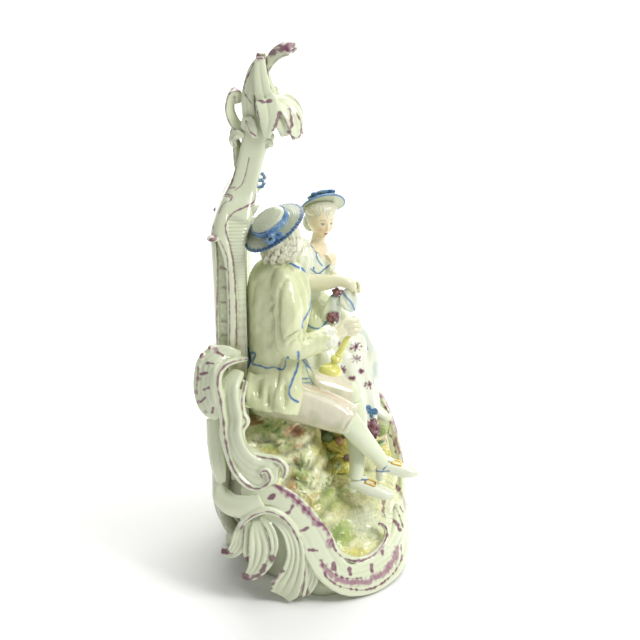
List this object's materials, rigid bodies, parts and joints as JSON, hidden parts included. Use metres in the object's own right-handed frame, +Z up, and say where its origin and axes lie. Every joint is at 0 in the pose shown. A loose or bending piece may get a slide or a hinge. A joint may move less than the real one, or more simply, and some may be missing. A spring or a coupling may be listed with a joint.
{
  "type": "porcelain figural group",
  "caption": "Rococo porcelain group: a seated gentleman with a horn and a lady with grapes on a scrolled rocaille base under a tall leafy back.",
  "frame": {"origin": "on the table, at the middle of the base's flat underside", "axes": "+Z up, -Y the group's front, where both figures' feet point, -X the gentleman's side"},
  "size_m": [0.1543, 0.1319, 0.3212],
  "materials": {
    "glazed_porcelain": "clear gloss glaze over ivory-green porcelain, painted in puce, blue, yellow and green enamels"
  },
  "bodies": {
    "root": {"porcelain_group": "glazed_porcelain"}
  },
  "joints": []
}
